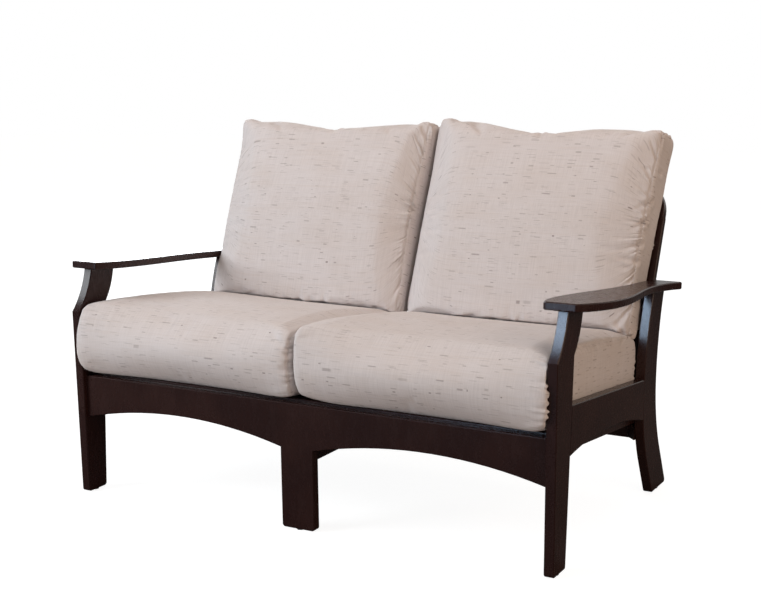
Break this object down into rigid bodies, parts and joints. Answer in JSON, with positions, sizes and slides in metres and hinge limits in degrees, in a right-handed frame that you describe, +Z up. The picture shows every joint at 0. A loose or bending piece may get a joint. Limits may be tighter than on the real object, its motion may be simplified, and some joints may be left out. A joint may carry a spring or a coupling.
{
  "type": "patio loveseat",
  "caption": "Two-seat patio loveseat of dark polymer boards with paddle-shaped arms, arched aprons, splayed rear legs and loose boxed cushions in slubbed beige fabric.",
  "frame": {"origin": "bottom centre of the bounding box, on the floor under the seat", "axes": "+X to the right as seen from the front and along the width, -Y towards the front, +Z up"},
  "size_m": [1.5202, 0.9011, 0.9635],
  "materials": {
    "polymer": "satin dark brown polymer board with bevelled edges",
    "steel": "bent stainless strip",
    "nylon": "black nylon",
    "fabric": "woven beige outdoor fabric with short dark slubs along the width"
  },
  "bodies": {
    "frame": {"front_leg_left": "polymer", "rear_leg_left": "polymer", "side_rail_left": "polymer", "arm_left": "polymer", "seat_cleat_left": "polymer", "back_stile_left": "polymer", "front_corner_block_left": "polymer", "rear_corner_block_left": "polymer", "front_leg_right": "polymer", "rear_leg_right": "polymer", "side_rail_right": "polymer", "arm_right": "polymer", "seat_cleat_right": "polymer", "back_stile_right": "polymer", "front_corner_block_right": "polymer", "rear_corner_block_right": "polymer", "front_apron": "polymer", "rear_rail": "polymer", "centre_brace": "polymer", "crest_rail": "polymer", "lower_back_rail": "polymer", "seat_slat_1": "polymer", "seat_slat_2": "polymer", "seat_slat_3": "polymer", "seat_slat_4": "polymer", "seat_slat_5": "polymer", "seat_slat_6": "polymer", "back_slat_1": "polymer", "back_slat_2": "polymer", "back_slat_3": "polymer", "back_slat_4": "polymer", "back_slat_5": "polymer", "back_slat_6": "polymer", "back_slat_7": "polymer", "back_slat_8": "polymer", "back_slat_9": "polymer", "stile_brackets": "steel", "leg_glides": "nylon"},
    "seat_cushion_left": {"seat_cushion_left": "fabric"},
    "seat_cushion_right": {"seat_cushion_right": "fabric"},
    "back_cushion_left": {"back_cushion_left": "fabric"},
    "back_cushion_right": {"back_cushion_right": "fabric"}
  },
  "joints": [
    {"name": "seat_cushion_left_slide", "type": "slide", "parent": "frame", "child": "seat_cushion_left", "axis": [0, -0.9947, 0.1028], "range_m": [0, 0.3]},
    {"name": "seat_cushion_right_slide", "type": "slide", "parent": "frame", "child": "seat_cushion_right", "axis": [0, -0.9947, 0.1028], "range_m": [0, 0.3]},
    {"name": "back_cushion_left_slide", "type": "slide", "parent": "frame", "child": "back_cushion_left", "axis": [0, 0.3827, 0.9239], "range_m": [0, 0.25]},
    {"name": "back_cushion_right_slide", "type": "slide", "parent": "frame", "child": "back_cushion_right", "axis": [0, 0.3827, 0.9239], "range_m": [0, 0.25]}
  ]
}
